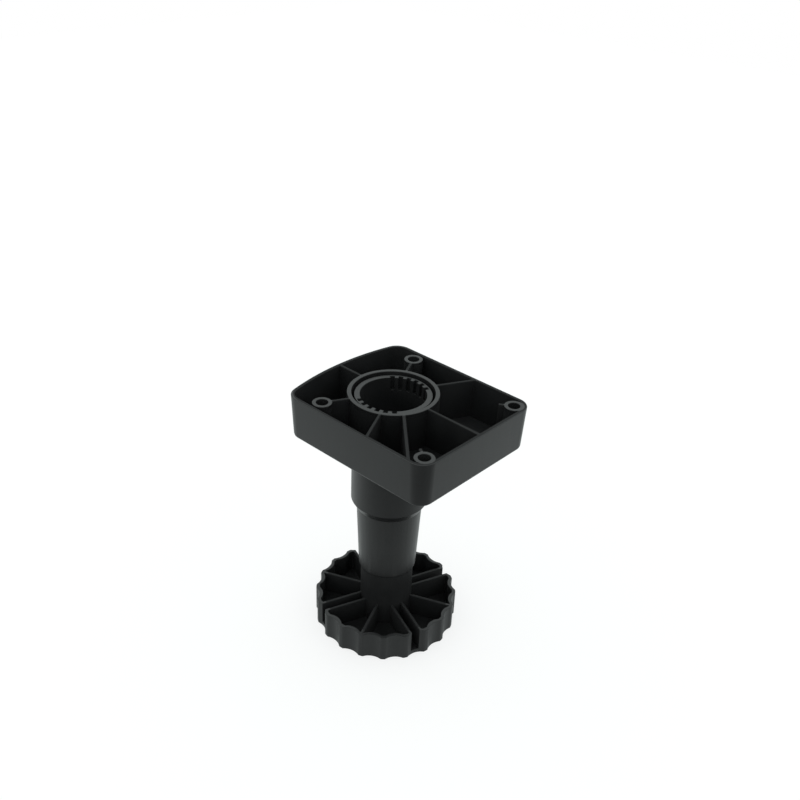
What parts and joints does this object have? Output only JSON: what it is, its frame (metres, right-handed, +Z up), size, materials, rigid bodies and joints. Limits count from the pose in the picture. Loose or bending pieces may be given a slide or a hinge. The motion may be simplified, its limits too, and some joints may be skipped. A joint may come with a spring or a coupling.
{
  "type": "adjustable cabinet leg",
  "caption": "Black plastic cabinet leg: an open ribbed mounting plate with screw bosses and a socket, a tapered tube and a fluted screw-in foot that sets the height.",
  "frame": {"origin": "centre of the foot's sole, on the leg's axis, with the foot screwed right in", "axes": "+Z up along the leg's axis, from the sole to the plate; +X along the plate, towards its straight front side"},
  "size_m": [0.0803, 0.0676, 0.12],
  "materials": {
    "plate_plastic": "satin moulded black plastic",
    "tube_plastic": "satin moulded black plastic, a little smoother",
    "foot_plastic": "satin moulded black plastic"
  },
  "bodies": {
    "leg": {"mounting_plate": "plate_plastic", "leg_tube": "tube_plastic"},
    "foot": {"adjusting_foot": "foot_plastic"}
  },
  "joints": [
    {"name": "foot_adjust", "type": "slide", "parent": "leg", "child": "foot", "axis": [0, 0, -1], "range_m": [0, 0.03]}
  ]
}
